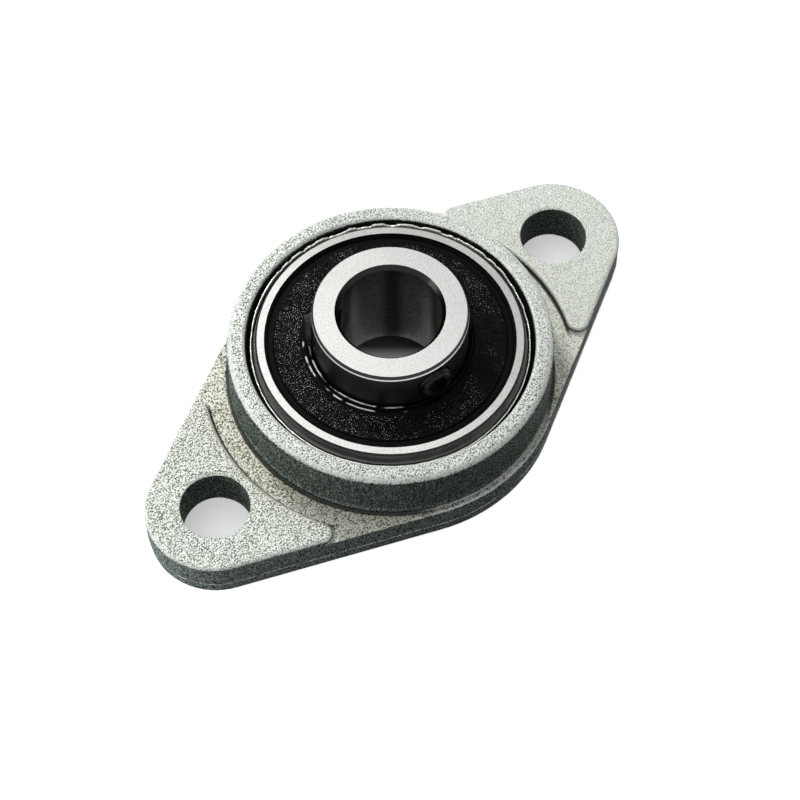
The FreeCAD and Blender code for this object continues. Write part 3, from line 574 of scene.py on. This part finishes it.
def makeThreadGroup():
    numbers = dict(Turns=4.0, Pitch=0.5 * mm, Core=1.2 * mm, Depth=0.2 * mm)
    tree, source, target = newShape("screwThread", "Holder", numbers, "Thread")
    given = source.outputs
    length = addProduct(tree, given["Turns"], given["Pitch"])
    spiral = addNode(tree, "GeometryNodeCurveSpiral", Resolution=40, Rotations=given["Turns"],
                     Start_Radius=given["Core"], End_Radius=given["Core"], Height=length).outputs[0]
    along = addNode(tree, "GeometryNodeSplineParameter").outputs["Factor"]
    runIn = addRange(tree, along, 0.0, 0.08, 0.2, 1.0)
    size = addProduct(tree, runIn, addRange(tree, along, 1.0, 0.92, 0.2, 1.0))
    thread = addTube(tree, spiral, addCircle(tree, given["Depth"], 4), Scale=size, Fill_Caps=True)
    return finishShape(tree, thread, source, target, smooth=False)


def placePiece(name, mesh, body):
    work = bmesh.new()
    work.from_mesh(mesh)
    bmesh.ops.recalc_face_normals(work, faces=work.faces)
    work.to_mesh(mesh)
    work.free()
    piece = bpy.data.objects.new(name, mesh)
    bpy.context.scene.collection.objects.link(piece)
    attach(piece, body)
    return piece


def runGroup(mesh, tree, values):
    holder = bpy.data.objects.new("holder", mesh)
    bpy.context.scene.collection.objects.link(holder)
    modifier = holder.modifiers.new("build", "NODES")
    modifier.node_group = tree
    for socket in tree.interface.items_tree:
        if socket.in_out == "INPUT" and socket.name in values:
            modifier[socket.identifier] = values[socket.name]
    made = bpy.data.meshes.new_from_object(holder.evaluated_get(bpy.context.evaluated_depsgraph_get()))
    bpy.data.objects.remove(holder)
    return made


def newMesh(name, points, edges, faces):
    mesh = bpy.data.meshes.new(name)
    mesh.from_pydata([tuple(part * mm for part in point) for point in points], edges, faces)
    return mesh


def loopPath(points):
    count = len(points)
    return newMesh("path", points, [(i, (i + 1) % count) for i in range(count)], [])


def circlePath(radius, height, start=0.0, end=360.0, count=180):
    angles = [math.radians(start + (end - start) * i / count) for i in range(count)]
    return [(radius * math.cos(angle), radius * math.sin(angle), height) for angle in angles]


def ringArea(inner, outer, height, count=72):
    points = circlePath(inner, height, count=count) + circlePath(outer, height, count=count)
    faces = [(i, count + i, count + (i + 1) % count, (i + 1) % count) for i in range(count)]
    return newMesh("area", points, [], faces)


# seal faces, moulded with a pebbled band and a wavy lip
pebbles = dict(
    heights=dict(front_seal=7.85, rear_seal=2.35), inner=7.1, outer=9.1, spacing=0.13,
    smallest=0.035, largest=0.09, flatness=0.7, seed=11)
scatterGroup = makeScatterGroup()
for number, (seal, height) in enumerate(pebbles["heights"].items()):
    values = dict(Spacing=pebbles["spacing"] * mm, Smallest=pebbles["smallest"] * mm,
                  Largest=pebbles["largest"] * mm, Flatness=pebbles["flatness"],
                  Seed=pebbles["seed"] + number, Material=paintedGlintRubber)
    mesh = runGroup(ringArea(pebbles["inner"], pebbles["outer"], height), scatterGroup, values)
    placePiece(seal + "_pebbles", mesh, "insert_body")
    print(seal, "pebbles", len(mesh.polygons), "faces")

lipLines = dict(radii=(6.4, 6.82), height=8.0, thick=0.12, wander=0.14, wave=1.4, broken=0.3, seed=21.0)
beadGroup = makeBeadGroup()


def beadValues(settings, seed, material):
    return dict(Thick=settings["thick"] * mm, Wander=settings["wander"] * mm, Wave=settings["wave"] * mm,
                Broken=settings["broken"], Seed=seed, Material=material)


for number, radius in enumerate(lipLines["radii"]):
    path = loopPath(circlePath(radius, lipLines["height"]))
    mesh = runGroup(path, beadGroup, beadValues(lipLines, lipLines["seed"] + number, lipGlintRubber))
    placePiece("seal_lip_line_%d" % (number + 1), mesh, "insert_body")
print("seal lip lines", len(lipLines["radii"]))

# casting's lip, coined over the ring's edge
lip = dict(
    radius=10.98, base=6.98, thick=0.09, nearRise=0.15, farRise=0.9, wave=1.1,
    away=(0.69, 0.725, 0), seed=3.0, count=360)
lipValues = {"Thick": lip["thick"] * mm, "Base": lip["base"] * mm, "Near Rise": lip["nearRise"],
             "Far Rise": lip["farRise"], "Wave": lip["wave"] * mm, "Away": lip["away"],
             "Seed": lip["seed"], "Material": shearedZinc}
lipPath = loopPath(circlePath(lip["radius"], lip["base"], count=lip["count"]))
mesh = runGroup(lipPath, makeLipGroup(), lipValues)
placePiece("coined_lip", mesh, "housing_body")
print("coined lip", len(mesh.polygons), "faces")

# bead of flash along the casting's parting line
flash = dict(
    lugRadius=5.5, lugPlace=18.5, waistRadius=13.5, height=1.3, inset=0.02,
    thick=0.045, wander=0.04, wave=0.7, broken=0.3, seed=7.0)


def flangeOutline(settings):
    lugRadius, lugPlace, waistRadius = settings["lugRadius"], settings["lugPlace"], settings["waistRadius"]
    height, inset = settings["height"], settings["inset"]
    tangent = math.degrees(math.acos((waistRadius - lugRadius) / lugPlace))
    lug = circlePath(lugRadius - inset, height, -tangent, tangent, 40)
    points = [(x + lugPlace, y, z) for x, y, z in lug]
    points += circlePath(waistRadius - inset, height, tangent, 180 - tangent, 60)
    points += [(-x, -y, z) for x, y, z in points]
    margin = 2.2 * settings["thick"]  # keeps the bead inside the casting's box
    mostX = lugPlace + lugRadius - margin
    mostY = waistRadius - margin
    return [(max(-mostX, min(mostX, x)), max(-mostY, min(mostY, y)), z) for x, y, z in points]


mesh = runGroup(loopPath(flangeOutline(flash)), beadGroup, beadValues(flash, flash["seed"], looks["housing"]))
placePiece("parting_flash", mesh, "housing_body")
print("parting flash", len(mesh.polygons), "faces")

# casting's skin, its edges worn by tumbling
skin = dict(
    limit=0.42, rounds=9, grain=0.3, grainDepth=0.03, swell=2.2, swellDepth=0.02, swellPlace=(9, 4, 2),
    wear=0.06, wearFrom=0.4, wearSize=1.3, seat=11.7, face=0.05, sharpAngle=60)


def isWorn(vert, settings):
    outside = math.hypot(vert.co.x, vert.co.y) > settings["seat"] * mm
    return outside and vert.co.z > settings["face"] * mm  # the seat and the mounting face stay true


def divideSkin(work, settings):
    for _ in range(settings["rounds"]):
        long = [edge for edge in work.edges if edge.calc_length() > settings["limit"] * mm
                and any(isWorn(vert, settings) for vert in edge.verts)]
        if not long:
            break
        bmesh.ops.subdivide_edges(work, edges=long, cuts=1, use_grid_fill=True, use_single_edge=True)
        wide = [face for face in work.faces if len(face.verts) > 3]
        bmesh.ops.triangulate(work, faces=wide, quad_method="SHORT_EDGE")
    work.normal_update()


def skinDepth(vert, settings):
    spot = vert.co / mm
    bend = max(edge.calc_face_angle_signed(0.0) for edge in vert.link_edges)
    patchy = 0.8 + 0.5 * noise.noise(spot * settings["wearSize"])
    wear = settings["wear"] * max(0.0, min(1.0, bend - settings["wearFrom"])) * patchy
    rough = settings["grainDepth"] * (0.5 + 0.5 * noise.noise(spot / settings["grain"]))
    wave = noise.noise(spot / settings["swell"] + Vector(settings["swellPlace"]))
    return wear + rough + settings["swellDepth"] * (0.5 + 0.5 * wave)


def makeHousingSkin(settings):
    work = bmesh.new()
    work.from_mesh(nodes["housing"].data)
    bmesh.ops.remove_doubles(work, verts=work.verts, dist=1e-7)
    divideSkin(work, settings)
    worn = [vert for vert in work.verts if isWorn(vert, settings)]
    moves = [vert.normal * skinDepth(vert, settings) * mm for vert in worn]
    for vert, move in zip(worn, moves):
        vert.co -= move
    mesh = bpy.data.meshes.new("housing_skin")
    work.to_mesh(mesh)
    work.free()
    mesh.materials.append(looks["housing"])
    mesh.shade_smooth()
    mesh.set_sharp_from_angle(angle=math.radians(settings["sharpAngle"]))
    piece = placePiece("housing_skin", mesh, "housing_body")
    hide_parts("housing")
    return len(mesh.polygons)


print("housing skin", makeHousingSkin(skin), "faces")

# set screws, cut with a real thread
thread = dict(core=1.23, depth=0.2, pitch=0.5, turns=3.9, start=4.4, height=9.85, angles=(141.0, 261.0))
threadGroup = makeThreadGroup()


def makeScrewCore(number, settings, axisPoint, axis):
    work = bmesh.new()
    work.from_mesh(nodes["set_screw_%d" % number].data)
    bmesh.ops.remove_doubles(work, verts=work.verts, dist=1e-7)
    for vert in work.verts:
        arm = vert.co - axisPoint
        arm -= axis * arm.dot(axis)
        if arm.length > settings["core"] * mm:
            vert.co -= arm * (1 - settings["core"] * mm / arm.length)
    core = bpy.data.meshes.new("set_screw_core")
    work.to_mesh(core)
    work.free()
    core.materials.append(looks["screw"])
    return core


def makeThreadedScrew(number, settings):
    turn = Matrix.Rotation(math.radians(settings["angles"][number - 1]), 4, "Z")
    axisPoint = Vector((0, 0, settings["height"] * mm))
    core = makeScrewCore(number, settings, axisPoint, turn @ Vector((1, 0, 0)))
    piece = placePiece("set_screw_core_%d" % number, core, "set_screw_%d_body" % number)
    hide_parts("set_screw_%d" % number)
    values = dict(Turns=settings["turns"], Pitch=settings["pitch"] * mm, Core=settings["core"] * mm,
                  Depth=settings["depth"] * mm, Material=looks["screw"])
    mesh = runGroup(bpy.data.meshes.new("empty"), threadGroup, values)
    along = Matrix.Translation((settings["start"] * mm, 0, 0)) @ Matrix.Rotation(math.pi / 2, 4, "Y")
    mesh.transform(Matrix.Translation(axisPoint) @ turn @ along)
    placePiece("set_screw_thread_%d" % number, mesh, "set_screw_%d_body" % number)
    return len(mesh.polygons)


for number in (1, 2):
    print("set screw thread", makeThreadedScrew(number, thread), "faces")

# floor, lamps and camera
floorLook = dict(
    pale=(0.85, 0.85, 0.86, 1), dim=(0.04, 0.04, 0.04, 1), dimLit=(0.6, 0.6, 0.6, 1),
    litSide=(-0.725, 0.689, 0), litFrom=-12.0, litTo=26.0, lift=0.85, shade=7.5,
    holeLift=0.42, holePlace=18.5, holeRadius=3.3,
    wellSide=(0.689, 0.725, 0), wellLift=0.13, wellNear=2.2, wellBright=2.9, wellFar=4.3,
    reach=1.5, drop=0.02)


def addShownMask(tree):
    path = addNode(tree, "ShaderNodeLightPath").outputs
    shown = addMath(tree, "MAXIMUM", path["Is Camera Ray"], path["Is Glossy Ray"])
    return addMath(tree, "MAXIMUM", shown, path["Is Transmission Ray"])


def makeFloorMaterial(look):
    material, tree, shader, place = newMaterial("paleFloor", Roughness=0.9, Specular_IOR_Level=0.0)
    shown = addShownMask(tree)
    radius = useGroup(tree, radiusGroup, Place=place)["Radius"]
    # painted shadow: the floor under the shaft's bore gets no lift and stays dark
    clear = addRange(tree, radius, look["shade"] - 1.0, look["shade"])  # it is dark under the shaft's bore
    toward = addVector(tree, "DOT_PRODUCT", place, look["litSide"], "Value")
    lit = addRange(tree, toward, look["litFrom"], look["litTo"])
    bounce = addMix(tree, lit, look["dim"], look["dimLit"])  # more light comes back from the lit side
    wire(tree, shader, "Base Color", addMix(tree, addProduct(tree, shown, clear), bounce, look["pale"]))
    folded = addVector(tree, "ABSOLUTE", place)
    fromHole = addVector(tree, "DISTANCE", folded, (look["holePlace"], 0, 0), "Value")
    holeEdge = look["holeRadius"], look["holeRadius"] + 0.5
    # painted shade: the floor inside the bolt holes gets less lift
    lift = addRange(tree, fromHole, *holeEdge, look["holeLift"], look["lift"])
    along = addVector(tree, "DOT_PRODUCT", place, look["wellSide"], "Value")
    well = addProduct(tree, addRange(tree, along, look["wellNear"], look["wellBright"]),
                      addRange(tree, along, look["wellFar"], look["wellBright"], 0.0, look["wellLift"]))
    glow = addBlend(tree, clear, well, lift)  # the well is light that falls down the bore
    wire(tree, shader, "Emission Color", (1, 1, 1, 1))
    wire(tree, shader, "Emission Strength", addProduct(tree, shown, glow))
    underside = addNode(tree, "ShaderNodeNewGeometry").outputs["Backfacing"]
    wire(tree, shader, "Alpha", addMath(tree, "SUBTRACT", 1.0, underside))  # clear from below
    return material


def makeFloor(look):
    reach = look["reach"] / mm
    corners = [(x * reach, y * reach, -look["drop"]) for x, y in ((-1, -1), (1, -1), (1, 1), (-1, 1))]
    mesh = newMesh("floor", corners, [], [(0, 1, 2, 3)])
    mesh.materials.append(makeFloorMaterial(look))
    floor = bpy.data.objects.new("floor", mesh)
    bpy.context.scene.collection.objects.link(floor)
    return floor


photoView = dict(
    azimuth=-43.55, elevation=59.44, roll=0.336, distance=175.9, lens=99.0, sensor=36.0, clip=0.01,
    lookHeight=3.8, shiftRight=0.767, shiftUp=-2.727)


def levelAxes(view):
    turn = math.radians(view["azimuth"])
    right = Vector((math.cos(turn), math.sin(turn), 0))
    ahead = Vector((-math.sin(turn), math.cos(turn), 0))
    return right, ahead


def addCamera(view):
    level, ahead = levelAxes(view)
    rise, roll = math.radians(view["elevation"]), math.radians(view["roll"])
    back = Vector((0, 0, math.sin(rise))) - ahead * math.cos(rise)
    upright = back.cross(level)
    right = level * math.cos(roll) + upright * math.sin(roll)
    up = upright * math.cos(roll) - level * math.sin(roll)
    spot = Vector((0, 0, view["lookHeight"])) + back * view["distance"]
    spot += right * view["shiftRight"] + up * view["shiftUp"]
    data = bpy.data.cameras.new("photoCamera")
    data.lens = view["lens"]
    data.sensor_width = view["sensor"]
    data.clip_start = view["clip"]
    camera = bpy.data.objects.new("photoCamera", data)
    camera.matrix_world = Matrix.Translation(spot * mm) @ Matrix((right, up, back)).transposed().to_4x4()
    bpy.context.scene.collection.objects.link(camera)
    bpy.context.scene.camera = camera


lampSettings = [dict(name="softTop", right=-0.14, ahead=0.095, height=0.4, size=0.44, power=0.5),
                dict(name="backKey", right=-0.2, ahead=0.32, height=0.36, size=0.08, power=1.0),
                dict(name="leftFill", right=-0.45, ahead=-0.08, height=0.12, size=0.2, power=0.45)]


def addLamp(settings):
    right, ahead = levelAxes(photoView)
    data = bpy.data.lights.new(settings["name"], "AREA")
    data.shape = "DISK"
    data.size = settings["size"]
    data.energy = settings["power"]
    lamp = bpy.data.objects.new(settings["name"], data)
    spot = right * settings["right"] + ahead * settings["ahead"] + Vector((0, 0, settings["height"]))
    lamp.matrix_world = Matrix.Translation(spot) @ spot.to_track_quat("Z", "Y").to_matrix().to_4x4()
    bpy.context.scene.collection.objects.link(lamp)


worldLook = dict(
    shown=1.0, dim=0.02, bright=0.58, lightSide=(-0.23, 0.63, 0.74), lightFrom=-0.2, lightTo=0.95)


def makeWorld(look):
    world = bpy.data.worlds.new("studio")
    world.use_nodes = True
    tree = world.node_tree
    sky = tree.nodes["Background"]
    wire(tree, sky, "Color", (1, 1, 1, 1))
    direction = addNode(tree, "ShaderNodeTexCoord").outputs["Generated"]
    toward = addVector(tree, "DOT_PRODUCT", direction, look["lightSide"], "Value")
    # the room is darker towards the near right
    ambient = addRange(tree, toward, look["lightFrom"], look["lightTo"], look["dim"], look["bright"])
    wire(tree, sky, "Strength", addBlend(tree, addShownMask(tree), ambient, look["shown"]))
    bpy.context.scene.world = world


floor = makeFloor(floorLook)
addCamera(photoView)
for settings in lampSettings:
    addLamp(settings)
makeWorld(worldLook)
bpy.context.scene.view_settings.view_transform = "Standard"
print("floor, camera and", len(lampSettings), "lamps")
